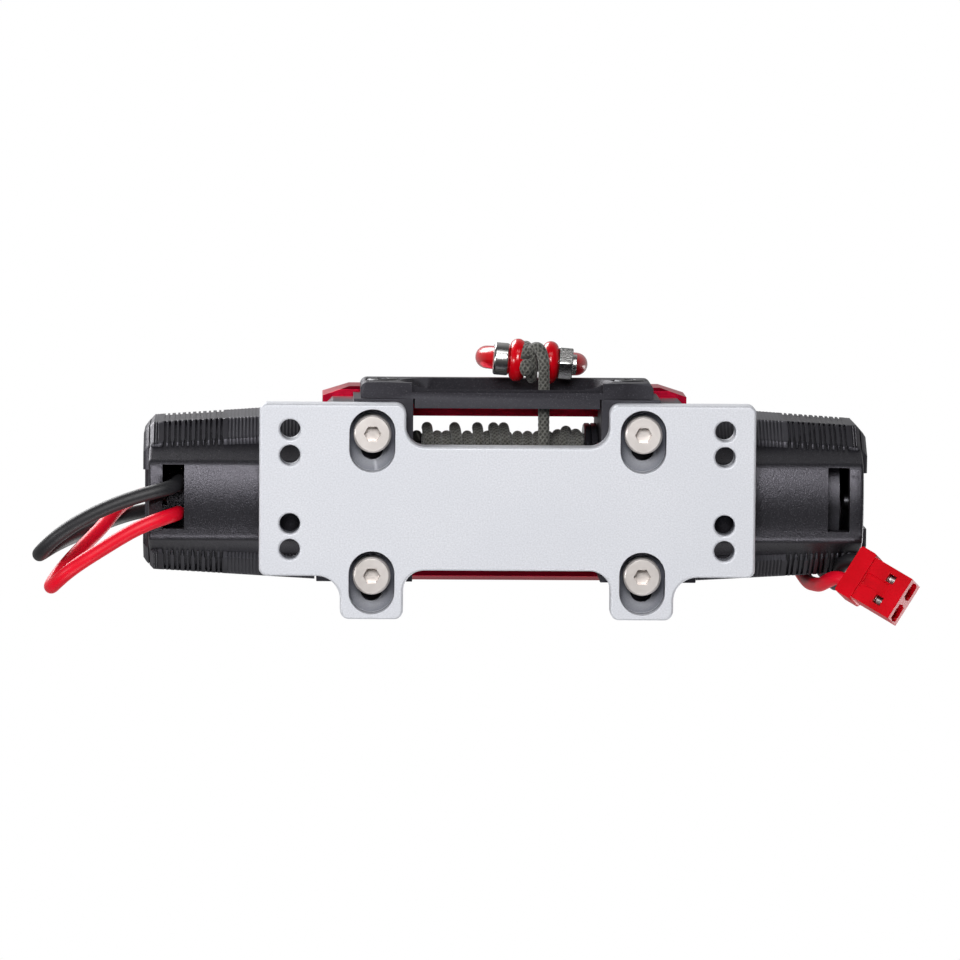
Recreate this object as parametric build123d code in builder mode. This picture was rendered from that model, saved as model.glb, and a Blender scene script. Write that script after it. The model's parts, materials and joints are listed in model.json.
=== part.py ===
from build123d import *
import os
from math import acos, cos, pi, radians, sin, tan

# Small electric winch for a 1/10 scale crawler, in millimetres. X runs along the drum, the rope
# leaves towards -Y, and Z = 0 is the mounting face, with the drum axis above it at Y = 0.

os.makedirs("parts", exist_ok=True)

# ---- driving dimensions ----
axis_z = 12.0  # drum axis above the mounting face
gap = 0.02  # clearance between pieces that slide or turn on each other

plate_thickness = 3.0
plate_bevel = 0.2
plate_corners = [  # x, y and corner radius of the right half, from the notch to the rear edge
    (10.25, -5.9, 2.0),
    (10.25, -10.2, 1.0),
    (25.0, -10.2, 0.8),
    (25.0, 7.2, 0.8),
    (16.8, 7.2, 2.4),
    (16.8, 11.55, 0.9),
    (10.45, 11.55, 0.9),
    (10.45, 6.6, 2.1),
]
tapped_x = 21.9
tapped_rows = [-7.6, -5.0, 1.9, 4.5]
tap_core_radius = 1.025  # M2.5 thread core
slot_x = 13.64
slot_rows = [-6.48, 7.86]
slot_travel = 1.76  # distance between the end centres of each slot
slot_recess_width = 4.6
slot_recess_depth = 2.1
slot_through_width = 2.25

m2_radius = 1.0
m2_head_radius = 1.9
m2_head_height = 2.0
m2_hex = 1.5  # across flats
mount_screw_y = 7.17
mount_screw_length = 8.0

cheek_inner = 9.5
cheek_outer = 19.2
cheek_front = -10.05
cheek_rear = 8.04
cheek_shelf = 12.0  # height where the upper frame's walls stand on the cheeks
cheek_top = 19.9
cheek_neck_front = -8.0
cheek_neck_rear = 7.5
pad_half = 15.5
pad_front = -10.5

rope_radius = 0.5
barrel_radius = 5.5
flange_radius = 7.4
flange_thickness = 0.7
rope_left = -9.5
rope_right = 8.05
lead_radius = 0.55
lead_x = 3.75

hub_radius = 3.0
bush_radius = 4.5
bush_length = 3.5
shaft_radius = 1.0
shaft_bore = 1.3
output_hex = 4.2  # across flats of the drive between gearbox and drum

module = 0.3
sun_teeth = 12
planet_teeth = 12
ring_teeth = 36
pressure_angle = radians(25)
backlash = 0.035
tooth_addendum = 0.8 * module
tooth_dedendum = 1.05 * module
gear_width = 2.6
orbit = module * (sun_teeth + planet_teeth) / 2
stage_1_x = 29.0  # middle of the gear set next to the drive shaft's end
stage_2_x = 24.2  # middle of the gear set next to the drum
planet_pin_radius = 0.6

housing_end = 36.2
housing_bore = 6.55
armour_end = 36.8
window_near = 32.5
window_far = 34.7
window_half = 3.25
window_y = -0.4  # middle of the window, towards the rope side
end_screw_radius = 0.73
end_head_radius = 1.25
end_head_height = 0.5
end_screw_heights = [-5.2, 5.2]  # above and below the drum axis
rib_pitch = 1.1
rib_count = 6

wire_radius = 0.73


# ---- small helpers ----
def corner(vertices, x, y):
    """The vertices at (x, y) and at its mirror image (-x, y)."""
    return [v for v in vertices if abs(abs(v.X) - x) < 0.01 and abs(v.Y - y) < 0.01]


def rims(edges, radius):
    """The round edges of one radius."""
    return [e for e in edges.filter_by(GeomType.CIRCLE) if abs(e.radius - radius) < 0.01]


def both(spots):
    """The spots and their mirror images in X."""
    return list(spots) + [(-x, y) for x, y in spots]


def across(x):
    """Plane square to the drum axis at x, with its own x along Y and its own y along Z."""
    return Plane(origin=(x, 0, axis_z), x_dir=(0, 1, 0), z_dir=(1, 0, 0))


def tube(x_start, x_end, outer, inner=0.0):
    """Round bar or tube on the drum axis."""
    with BuildPart() as bar:
        with BuildSketch(across(x_start)):
            Circle(outer)
            if inner:
                Circle(inner, mode=Mode.SUBTRACT)
        extrude(amount=x_end - x_start)
    return bar.part


def cap_screw(length, hex_depth=1.1):
    """Socket cap screw with the underside of its head at Z = 0 and its shank up +Z."""
    with BuildPart() as screw:
        with BuildSketch(Plane.XY.offset(-m2_head_height)):
            Circle(m2_head_radius)
        extrude(amount=m2_head_height)
        chamfer(screw.edges().group_by(Axis.Z)[0], 0.2)
        with BuildSketch(Plane.XY):
            Circle(m2_radius)
        extrude(amount=length)
        chamfer(screw.edges().group_by(Axis.Z)[-1], 0.25)
        with BuildSketch(Plane.XY.offset(-m2_head_height)):
            RegularPolygon(m2_hex / 2, 6, major_radius=False)
        extrude(amount=hex_depth, mode=Mode.SUBTRACT)
    return screw.part


def button_screw(length, head_radius=1.7, head_height=0.8, hex_width=1.2):
    """Round-headed screw with the underside of its head at Z = 0 and its shank up +Z."""
    with BuildPart() as screw:
        with BuildSketch(Plane.XY.offset(-head_height)):
            Circle(head_radius)
        extrude(amount=head_height)
        fillet(screw.edges().group_by(Axis.Z)[0], 0.45)
        with BuildSketch(Plane.XY):
            Circle(m2_radius)
        extrude(amount=length)
        with BuildSketch(Plane.XY.offset(-head_height)):
            RegularPolygon(hex_width / 2, 6, major_radius=False)
        extrude(amount=head_height, mode=Mode.SUBTRACT)
    return screw.part


def rope_sweep(points, radius, directions=()):
    """Round cord along a smooth path through the points, with its directions at both ends if given."""
    with BuildPart() as cord:
        with BuildLine() as path:
            Spline(*points, tangents=directions)
        with BuildSketch(path.line ^ 0):
            Circle(radius)
        sweep()
    return cord.part


# ---- gear teeth ----
def involute(base, radius):
    """Angle that an involute from the base circle has turned through at a radius."""
    if radius <= base:
        return 0.0
    reach = acos(base / radius)
    return tan(reach) - reach


def tooth_points(teeth, root, tip, thinning, steps=3):
    """Closed outline of one tooth about the +X direction, from below the root circle."""
    pitch = module * teeth / 2
    base = pitch * cos(pressure_angle)
    half_pitch = pi / (2 * teeth) - thinning / (2 * pitch)
    flank = []
    for i in range(steps + 1):
        r = root + (tip - root) * i / steps
        turn = half_pitch + involute(base, pitch) - involute(base, r)
        flank.append((r, turn))
    upper = [(r * cos(a), r * sin(a)) for r, a in flank]
    lower = [(x, -y) for x, y in reversed(upper)]
    inset = root * 0.9
    start = (inset * cos(flank[0][1]), inset * sin(flank[0][1]))
    return [start] + upper + lower + [(start[0], -start[1])]


def tooth(teeth, root, tip, thinning):
    """Face of one tooth about the +X direction."""
    with BuildSketch() as face:
        with BuildLine():
            Polyline(*tooth_points(teeth, root, tip, thinning), close=True)
        make_face()
    return face.sketch


def gear(x_middle, width, teeth, phase, bore):
    """Spur gear centred on the drum axis, with a tooth at the phase angle."""
    pitch = module * teeth / 2
    one_tooth = tooth(teeth, pitch - tooth_dedendum, pitch + tooth_addendum, backlash)
    with BuildPart() as wheel:
        with BuildSketch(across(x_middle - width / 2)):
            Circle(pitch - tooth_dedendum)
            with PolarLocations(0, teeth, start_angle=phase):
                add(one_tooth)
            if bore:
                Circle(bore, mode=Mode.SUBTRACT)
        extrude(amount=width)
    return wheel.part


# ---- mounting plate ----
outline = [(x, y) for x, y, radius in plate_corners]
with BuildPart() as mount_plate:
    with BuildSketch() as plate_outline:
        with BuildLine():
            Polyline(*outline, *[(-x, y) for x, y in reversed(outline)], close=True)
        make_face()
        for x, y, radius in plate_corners:
            fillet(corner(plate_outline.vertices(), x, y), radius)
    extrude(amount=plate_thickness)
    chamfer(mount_plate.faces().filter_by(Axis.Z).edges(), plate_bevel)
    slot_spots = both([(slot_x, y) for y in slot_rows])
    with BuildSketch():
        with Locations(*slot_spots):
            SlotCenterToCenter(slot_travel, slot_recess_width, rotation=90)
    extrude(amount=slot_recess_depth, mode=Mode.SUBTRACT)
    with BuildSketch():
        with Locations(*slot_spots):
            SlotCenterToCenter(slot_travel, slot_through_width, rotation=90)
    extrude(amount=plate_thickness, mode=Mode.SUBTRACT)
    with BuildSketch():
        with Locations(*both([(tapped_x, y) for y in tapped_rows])):
            Circle(tap_core_radius)
    extrude(amount=plate_thickness, mode=Mode.SUBTRACT)
    chamfer(rims(mount_plate.edges().group_by(Axis.Z)[0], tap_core_radius), 0.16)
mount_plate.part.label = "mount_plate"

with BuildPart() as mount_screws:
    seat = slot_recess_depth - gap
    with Locations(*[(x, y, seat) for x, y in both([(slot_x, -mount_screw_y), (slot_x, mount_screw_y)])]):
        add(cap_screw(mount_screw_length))
mount_screws.part.label = "mount_screws"


# ---- cheeks: the bearing blocks at each end of the drum ----
cheek_base = plate_thickness + gap
frame_screw_spots = [(14.2, -5.0), (14.2, 4.6)]
fairlead_screw_x = 12.55
fairlead_screw_z = 8.0
fairlead_recess_radius = 1.8
fairlead_recess_depth = 0.7


def cheek_block():
    """Right-hand bearing block without its bores."""
    with BuildPart() as block:
        with BuildSketch(Plane.XY.offset(cheek_base)):
            with Locations(((cheek_inner + cheek_outer) / 2, (cheek_front + cheek_rear) / 2)):
                Rectangle(cheek_outer - cheek_inner, cheek_rear - cheek_front)
        extrude(amount=cheek_shelf - cheek_base)
        front_corner = block.edges().filter_by(Axis.Z).group_by(Axis.Y)[0].sort_by(Axis.X)[-1]
        chamfer(front_corner, 1.6)
        with BuildSketch(Plane.XY.offset(cheek_base)):
            with Locations(((cheek_inner + pad_half) / 2, pad_front + 0.5)):
                Rectangle(pad_half - cheek_inner, 1.0)
        extrude(amount=8.6)
        with BuildSketch(Plane.XY.offset(cheek_base)):
            with Locations((slot_x, 8.4)):
                RectangleRounded(6.0, 3.0, 0.8)
        extrude(amount=4.2)
        with BuildSketch(Plane.XY.offset(cheek_shelf)):
            with Locations(((cheek_inner + cheek_outer) / 2, (cheek_neck_front + cheek_neck_rear) / 2)):
                Rectangle(cheek_outer - cheek_inner, cheek_neck_rear - cheek_neck_front)
        extrude(amount=cheek_top - cheek_shelf)
        with BuildSketch(Plane.XY.offset(cheek_base)):
            with Locations((slot_x, -mount_screw_y), (slot_x, mount_screw_y)):
                Circle(m2_radius + gap)
        extrude(amount=7.6, mode=Mode.SUBTRACT)
        with BuildSketch(Plane.XY.offset(cheek_top)):
            with Locations(*frame_screw_spots):
                Circle(m2_radius + gap)
        extrude(amount=-3.4, mode=Mode.SUBTRACT)
        with BuildSketch(Plane.XZ.offset(-pad_front)):
            with Locations((fairlead_screw_x, fairlead_screw_z)):
                Circle(m2_radius + gap)
        extrude(amount=-2.2, mode=Mode.SUBTRACT)
    return block.part


flange_pocket = 0.9
cavity_radius = 4.0
with BuildPart() as right_cheek:
    add(cheek_block())
    add(tube(cheek_inner - 1, cheek_inner + bush_length, bush_radius), mode=Mode.SUBTRACT)
    add(tube(cheek_inner, cheek_outer + 1, cavity_radius), mode=Mode.SUBTRACT)
right_cheek.part.label = "right_cheek"

with BuildPart() as left_cheek:
    add(mirror(cheek_block(), about=Plane.YZ))
    add(tube(-cheek_inner - flange_pocket, -cheek_inner + 1, flange_radius + 0.2), mode=Mode.SUBTRACT)
    add(tube(-cheek_inner - flange_pocket - bush_length, -cheek_inner, bush_radius), mode=Mode.SUBTRACT)
    add(tube(-cheek_outer - 1, -cheek_inner, cavity_radius), mode=Mode.SUBTRACT)
left_cheek.part.label = "left_cheek"

with BuildPart() as right_bush:
    add(tube(cheek_inner, cheek_inner + bush_length, bush_radius, hub_radius + gap))
right_bush.part.label = "right_bush"

with BuildPart() as left_bush:
    left_bush_start = -cheek_inner - flange_pocket - bush_length
    add(tube(left_bush_start, left_bush_start + bush_length, bush_radius, hub_radius + gap))
left_bush.part.label = "left_bush"


# ---- fairlead: rounded slot the rope leaves through ----
fairlead_front = -12.1
fairlead_top = 11.5
fairlead_half = 14.8
ear_bottom = 4.0
hump_bottom = 3.1
hump_half = 9.65
rope_slot_bottom = 4.28
rope_slot_top = 8.6
rope_slot_half = 9.3
rope_mouth = 1.53  # width and depth of the slot's flared mouth
with BuildPart() as fairlead:
    ear_back = pad_front
    with BuildSketch(Plane.XZ.offset(-ear_back)):
        with BuildLine():
            Polyline(
                (-fairlead_half, ear_bottom),
                (-12.0, ear_bottom),
                (-hump_half, hump_bottom),
                (hump_half, hump_bottom),
                (12.0, ear_bottom),
                (fairlead_half, ear_bottom),
                (fairlead_half, fairlead_top),
                (-fairlead_half, fairlead_top),
                close=True,
            )
        make_face()
    extrude(amount=ear_back - fairlead_front)
    with BuildSketch(Plane.XY.offset(hump_bottom)):
        with Locations((0, (ear_back - 9.55) / 2)):
            Rectangle(2 * cheek_inner - 0.3, -9.55 - ear_back)
    extrude(amount=fairlead_top - hump_bottom)
    ends = fairlead.edges().filter_by(Axis.Z).filter_by(lambda e: abs(e.center().X) > 14)
    fillet(ends.group_by(Axis.Y)[0], 0.7)
    with BuildSketch(Plane.YZ.offset(-hump_half)):
        with BuildLine():
            facet = 0.95
            Polyline(
                (fairlead_front - 1, hump_bottom - 1),
                (fairlead_front + facet + 1, hump_bottom - 1),
                (fairlead_front - 1, hump_bottom + facet + 1),
                close=True,
            )
        make_face()
    extrude(amount=2 * hump_half, mode=Mode.SUBTRACT)
    with BuildSketch(Plane.XZ.offset(9.0)):
        with Locations((0, (rope_slot_bottom + rope_slot_top) / 2)):
            slot_height = rope_slot_top - rope_slot_bottom
            SlotOverall(2 * rope_slot_half, slot_height)
    extrude(amount=4.0, mode=Mode.SUBTRACT)
    with BuildSketch(Plane.XZ.offset(-fairlead_front)):
        with Locations((0, (rope_slot_bottom + rope_slot_top) / 2)):
            SlotOverall(2 * (rope_slot_half + rope_mouth), slot_height + 2 * rope_mouth)
    extrude(amount=-rope_mouth, taper=45, mode=Mode.SUBTRACT)
    with BuildSketch(Plane.XZ.offset(9.0)):
        with Locations((fairlead_screw_x, fairlead_screw_z), (-fairlead_screw_x, fairlead_screw_z)):
            Circle(m2_radius + gap)
    extrude(amount=4.0, mode=Mode.SUBTRACT)
    with BuildSketch(Plane.XZ.offset(-fairlead_front)):
        with Locations((fairlead_screw_x, fairlead_screw_z), (-fairlead_screw_x, fairlead_screw_z)):
            Circle(fairlead_recess_radius)
    extrude(amount=-fairlead_recess_depth, mode=Mode.SUBTRACT)
fairlead.part.label = "fairlead"

with BuildPart() as fairlead_screws:
    for x in (fairlead_screw_x, -fairlead_screw_x):
        with Locations(Location((x, fairlead_front + fairlead_recess_depth, fairlead_screw_z), (-90, 0, 0))):
            add(button_screw(2.9))
fairlead_screws.part.label = "fairlead_screws"


# ---- upper frame: tie bars over the drum, open in the middle ----
frame_front = -11.05
frame_rear = 8.86
frame_top = 21.4
frame_half = 18.6
frame_window_half = 9.55
frame_window_front = -7.42
frame_window_rear = 6.3
with BuildPart() as upper_frame:
    with BuildSketch(Plane.YZ.offset(-frame_half)):
        with BuildLine():
            Polyline(
                (frame_front + 0.35, cheek_shelf),
                (frame_front, cheek_shelf + 0.35),
                (frame_front, cheek_shelf + 5.2),
                (frame_front + 1.9, frame_top - 1.6),
                (frame_front + 4.3, frame_top),
                (5.4, frame_top),
                (frame_rear - 1.2, frame_top - 1.2),
                (frame_rear, frame_top - 3.6),
                (frame_rear, cheek_shelf + 0.9),
                (frame_rear - 0.5, cheek_shelf),
                (cheek_neck_rear + 0.02, cheek_shelf),
                (cheek_neck_rear + 0.02, cheek_top),
                (cheek_neck_front - 0.06, cheek_top),
                (cheek_neck_front - 0.06, cheek_shelf),
                close=True,
            )
        make_face()
    extrude(amount=2 * frame_half)
    with BuildSketch(Plane.XY.offset(cheek_shelf - 1)):
        with BuildLine():
            Polyline((15.9, frame_front - 1), (15.9, frame_front), (19.2, -9.9), (19.2, -12.05), close=True)
        make_face()
        mirror(about=Plane.YZ)
    extrude(amount=12, mode=Mode.SUBTRACT)
    with BuildSketch(Plane.XY.offset(cheek_top - 1)):
        with Locations((0, (frame_window_front + frame_window_rear) / 2)):
            RectangleRounded(2 * frame_window_half, frame_window_rear - frame_window_front, 0.3)
    extrude(amount=4, mode=Mode.SUBTRACT)
    with BuildSketch(Plane.XY.offset(cheek_top - 1)):
        with Locations(*both(frame_screw_spots)):
            Circle(m2_radius + gap)
    extrude(amount=4, mode=Mode.SUBTRACT)
upper_frame.part.label = "upper_frame"

with BuildPart() as frame_screws:
    with Locations(*[Location((x, y, frame_top), (180, 0, 0)) for x, y in both(frame_screw_spots)]):
        add(button_screw(4.6))
frame_screws.part.label = "frame_screws"


# ---- drum, rope and the drive through it ----
left_hub_end = left_bush_start - 0.2
right_hub_end = cheek_inner + bush_length + 3.0
with BuildPart() as drum:
    add(tube(left_hub_end, right_hub_end, hub_radius))
    add(tube(rope_left - 0.05, rope_right, barrel_radius))
    add(tube(rope_left - 0.05 - flange_thickness, rope_left - 0.05, flange_radius))
    add(tube(rope_right, rope_right + flange_thickness, flange_radius))
    chamfer(rims(drum.edges(), flange_radius), 0.15)
    add(tube(left_hub_end - 1, right_hub_end + 1, shaft_bore), mode=Mode.SUBTRACT)
    with BuildSketch(across(cheek_inner + 2.0)):
        RegularPolygon(output_hex / 2, 6, major_radius=False)
    extrude(amount=10, mode=Mode.SUBTRACT)
drum.part.label = "drum"

wrap_pitch = 1.03
wrap_count = 17
second_layer = [1, 3, 6, 7, 9]  # first-layer turns that carry a turn of the next layer
turn_radius = barrel_radius + 1.04 * rope_radius
first_wrap = (rope_left + rope_right - wrap_pitch * (wrap_count - 1)) / 2
with BuildPart() as rope_coil:
    with BuildSketch(Plane.XY.offset(axis_z)):
        with Locations(((rope_left + rope_right) / 2, barrel_radius + rope_radius / 2)):
            Rectangle(rope_right - rope_left, rope_radius)
        with Locations(*[(first_wrap + i * wrap_pitch, turn_radius) for i in range(wrap_count)]):
            Circle(rope_radius)
        with Locations(*[(first_wrap + i * wrap_pitch, turn_radius + 1.5 * rope_radius) for i in second_layer]):
            Circle(rope_radius)
    revolve(axis=Axis((0, 0, axis_z), (1, 0, 0)))
rope_coil.part.label = "rope_coil"

coupler_radius = 2.6
coupler_end = -cheek_outer + 4.3
sun_1_end = stage_1_x + gear_width / 2 + 0.3
with BuildPart() as drive_shaft:
    add(tube(coupler_end - 2.0, sun_1_end - 0.2, shaft_radius))
    add(gear(stage_1_x, gear_width, sun_teeth, 90, 0))
drive_shaft.part.label = "drive_shaft"

with BuildPart() as shaft_coupler:
    add(tube(coupler_end - 4.2, coupler_end, coupler_radius, shaft_radius))
    chamfer(rims(shaft_coupler.edges(), coupler_radius), 0.25)
shaft_coupler.part.label = "shaft_coupler"


# ---- gearbox: two planetary stages of four to one in one ring gear ----
ring_end = stage_1_x + gear_width / 2 + 2.4
ring_start = cheek_outer
ring_pitch = module * ring_teeth / 2
ring_space = tooth(ring_teeth, ring_pitch - tooth_addendum, ring_pitch + tooth_dedendum, -backlash)
with BuildPart() as ring_gear:
    add(tube(ring_start, ring_end, housing_bore - gap))
    with BuildSketch(across(ring_start)):
        Circle(ring_pitch - tooth_addendum)
        with PolarLocations(0, ring_teeth, start_angle=90 + 180 / ring_teeth):
            add(ring_space)
    extrude(amount=ring_end - ring_start, mode=Mode.SUBTRACT)
ring_gear.part.label = "ring_gear"

carrier_radius = 4.9
carrier_thickness = 0.9


def planet(x_middle, turn, name):
    """Planet wheel of one stage, turned about the drum axis to its own station."""
    with BuildPart() as wheel:
        add(gear(x_middle, gear_width, planet_teeth, 180 / planet_teeth + 90, planet_pin_radius + gap))
    placed = Pos(0, 0, axis_z) * Rot(turn, 0, 0) * Pos(0, 0, orbit - axis_z) * wheel.part
    placed.label = name
    export_step(placed, f"parts/{name}.step")


for stage, x_middle in ((1, stage_1_x), (2, stage_2_x)):
    for station in range(3):
        planet(x_middle, 120 * station, f"planet_{stage}{'abc'[station]}")


def planet_pins(x_start, x_end, radius):
    """Three pins on the planets' orbit."""
    with BuildPart() as pins:
        with BuildSketch(across(x_start)):
            with PolarLocations(orbit, 3, start_angle=90):
                Circle(radius)
        extrude(amount=x_end - x_start)
    return pins.part


disc_gap = gear_width / 2 + 0.12
with BuildPart() as carrier_1:
    disc_1_outer = stage_1_x - disc_gap
    add(tube(disc_1_outer - carrier_thickness, disc_1_outer, carrier_radius))
    add(gear(stage_2_x, gear_width, sun_teeth, 90, 0))
    add(tube(stage_2_x + gear_width / 2, disc_1_outer - carrier_thickness, 1.45))
    add(tube(stage_2_x - 5, stage_1_x, shaft_radius + 0.1), mode=Mode.SUBTRACT)
    add(planet_pins(disc_1_outer - 2, disc_1_outer + 1, planet_pin_radius), mode=Mode.SUBTRACT)
carrier_1.part.label = "carrier_1"

with BuildPart() as planet_pins_1:
    add(planet_pins(disc_1_outer - carrier_thickness, stage_1_x + disc_gap, planet_pin_radius))
planet_pins_1.part.label = "planet_pins_1"

with BuildPart() as carrier_2:
    disc_2_outer = stage_2_x - disc_gap
    add(tube(disc_2_outer - carrier_thickness, disc_2_outer, carrier_radius))
    with BuildSketch(across(cheek_inner + 2.3)):
        RegularPolygon(output_hex / 2, 6, major_radius=False)
    extrude(amount=disc_2_outer - carrier_thickness - cheek_inner - 2.3)
    add(tube(cheek_inner, stage_2_x, shaft_bore), mode=Mode.SUBTRACT)
    add(planet_pins(disc_2_outer - 2, disc_2_outer + 1, planet_pin_radius), mode=Mode.SUBTRACT)
carrier_2.part.label = "carrier_2"

with BuildPart() as planet_pins_2:
    add(planet_pins(disc_2_outer - carrier_thickness, stage_2_x + disc_gap, planet_pin_radius))
planet_pins_2.part.label = "planet_pins_2"

with BuildPart() as gear_cap:
    add(tube(ring_end, ring_end + 1.2, housing_bore - gap))
    add(tube(ring_end - 0.5, ring_end, ring_pitch - tooth_addendum - 0.1))
gear_cap.part.label = "gear_cap"


# ---- end housings: smooth octagonal shells open towards the drum ----
housing_section = [  # half of the section from the middle of its flat underside, about the drum axis
    (3.9, -8.6),
    (5.3, -5.4),
    (7.25, -2.4),
    (7.25, 4.4),
    (4.7, 7.8),
]
armour_section = [  # half of the armour's outer section, from its lower edge over the top
    (5.3, -5.35),
    (8.3, -2.6),
    (8.45, 4.6),
    (5.3, 8.8),
]
armour_taper = 0.91  # size of the armour's outer end against its inner end


def symmetric(half_section, scale=1.0):
    """Points of a whole symmetric outline from its right half."""
    points = [(x * scale, y * scale) for x, y in half_section]
    return points + [(-x, y) for x, y in reversed(points)]


def housing_shell():
    """Right-hand housing."""
    with BuildPart() as shell:
        with BuildSketch(across(cheek_outer)) as section:
            with BuildLine():
                Polyline(*symmetric(housing_section), close=True)
            make_face()
            low = section.vertices().group_by(Axis.Y)[0]
            fillet(low, 1.1)
        extrude(amount=housing_end - cheek_outer)
        fillet(shell.faces().sort_by(Axis.X)[-1].edges(), 0.5)
        add(tube(cheek_outer - 1, housing_end - 1.1, housing_bore), mode=Mode.SUBTRACT)
        with BuildSketch(Plane.XY):
            with Locations(((window_near + window_far) / 2, window_y)):
                Rectangle(window_far - window_near, 2 * window_half)
        extrude(amount=axis_z - 3, mode=Mode.SUBTRACT)
        with BuildSketch(across(housing_end)):
            with Locations(*[(0, z) for z in end_screw_heights]):
                Circle(end_screw_radius + gap)
        extrude(amount=-2, mode=Mode.SUBTRACT)
        with BuildSketch(across(housing_end)):
            with Locations(*[(0, z) for z in end_screw_heights]):
                Circle(end_head_radius + gap)
        extrude(amount=-end_head_height, mode=Mode.SUBTRACT)
    return shell.part


def armour_shell():
    """Right-hand ribbed armour that wraps the housing's sides, top and end."""
    with BuildPart() as shell:
        with BuildSketch(across(cheek_outer + 0.1)):
            with BuildLine():
                Polyline(*symmetric(armour_section), close=True)
            make_face()
        with BuildSketch(across(armour_end)):
            with BuildLine():
                Polyline(*symmetric(armour_section, armour_taper), close=True)
            make_face()
        loft()
        chamfer(shell.faces().sort_by(Axis.X)[-1].edges(), 0.5)
        with BuildSketch(across(cheek_outer - 1)):
            with BuildLine():
                Polyline(*symmetric([(x + 0.03, y * 1.004) for x, y in housing_section]), close=True)
            make_face()
        extrude(amount=housing_end + 0.05 - cheek_outer + 1, mode=Mode.SUBTRACT)
        with BuildSketch(Plane.XY):
            with Locations((armour_end, 0)):
                Rectangle(1.2, 2 * 2.85)
        extrude(amount=16.5, mode=Mode.SUBTRACT)
        for i in range(rib_count):
            x = armour_end - 2.2 - i * rib_pitch
            add(rib_groove(x, 0.55, 0.42), mode=Mode.SUBTRACT)
    return shell.part


def rib_groove(x, width, depth):
    """Groove cutter round the armour, square to the drum axis."""
    share = (x - cheek_outer) / (armour_end - cheek_outer)
    scale = 1 + share * (armour_taper - 1)
    with BuildPart() as groove:
        with BuildSketch(across(x - width / 2)):
            Rectangle(30, 30)
            with BuildLine():
                section_points = [(px * scale, py * scale) for px, py in armour_section]
                inner = [(px - depth, py + (depth if py < 0 else -depth)) for px, py in section_points]
                Polyline(*inner, *[(-px, py) for px, py in reversed(inner)], close=True)
            make_face(mode=Mode.SUBTRACT)
            with Locations((0, -12.0)):
                Rectangle(30, 13.0, mode=Mode.SUBTRACT)
        extrude(amount=width)
    return groove.part


def end_screw():
    """Small screw with its underside at Z = 0 and its shank up +Z."""
    with BuildPart() as screw:
        with BuildSketch(Plane.XY.offset(-end_head_height)):
            Circle(end_head_radius)
        extrude(amount=end_head_height)
        fillet(screw.edges().group_by(Axis.Z)[0], 0.2)
        with BuildSketch(Plane.XY):
            Circle(end_screw_radius)
        extrude(amount=1.3)
        with BuildSketch(Plane.XY.offset(-end_head_height)):
            RegularPolygon(0.55, 6, major_radius=False)
        extrude(amount=end_head_height, mode=Mode.SUBTRACT)
    return screw.part


with BuildPart() as gearbox_housing:
    add(housing_shell())
gearbox_housing.part.label = "gearbox_housing"

with BuildPart() as motor_housing:
    add(mirror(housing_shell(), about=Plane.YZ))
motor_housing.part.label = "motor_housing"

with BuildPart() as right_armour:
    add(armour_shell())
right_armour.part.label = "right_armour"

with BuildPart() as left_armour:
    add(mirror(armour_shell(), about=Plane.YZ))
left_armour.part.label = "left_armour"

with BuildPart() as end_screws:
    end_seat = housing_end - end_head_height
    for z in end_screw_heights:
        with Locations(Location((end_seat, 0, axis_z + z), (0, -90, 0))):
            add(end_screw())
        with Locations(Location((-end_seat, 0, axis_z + z), (0, 90, 0))):
            add(end_screw())
end_screws.part.label = "end_screws"


# ---- motor ----
can_radius = housing_bore - gap
can_inner_end = -cheek_outer - 0.3
can_outer_end = -31.2
with BuildPart() as motor_can:
    add(tube(can_outer_end, can_inner_end, can_radius, can_radius - 0.5))
    add(tube(can_inner_end - 0.6, can_inner_end, can_radius, shaft_radius + gap))
motor_can.part.label = "motor_can"

with BuildPart() as motor_magnets:
    with BuildSketch(across(can_outer_end + 1.0)):
        Circle(can_radius - 0.5)
        Circle(can_radius - 1.6, mode=Mode.SUBTRACT)
        with Locations((0, 0)):
            Rectangle(3.2, 20, mode=Mode.SUBTRACT)
    extrude(amount=8.6)
motor_magnets.part.label = "motor_magnets"

with BuildPart() as motor_end_bell:
    add(tube(can_outer_end - 1.0, can_outer_end, can_radius))
    add(tube(can_outer_end, can_outer_end + 0.8, can_radius - 0.5))
    add(tube(can_outer_end - 2, can_outer_end + 2, shaft_radius + gap), mode=Mode.SUBTRACT)
motor_end_bell.part.label = "motor_end_bell"

with BuildPart() as motor_rotor:
    add(tube(can_outer_end - 0.8, coupler_end - 2.1, shaft_radius))
    add(tube(can_outer_end + 3.0, can_outer_end + 9.0, 4.5))
    with BuildSketch(across(can_outer_end + 2.9)):
        with PolarLocations(3.6, 3):
            Rectangle(2.6, 0.7)
    extrude(amount=6.2, mode=Mode.SUBTRACT)
    add(tube(can_outer_end + 1.2, can_outer_end + 3.0, 1.9))
motor_rotor.part.label = "motor_rotor"

with BuildPart() as motor_terminals:
    with BuildSketch(Plane.YZ.offset(can_outer_end - 1.0)):
        with Locations((-2.4, axis_z - 3.6), (2.4, axis_z - 3.6)):
            Rectangle(1.4, 2.0)
    extrude(amount=-0.35)
motor_terminals.part.label = "motor_terminals"


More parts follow.
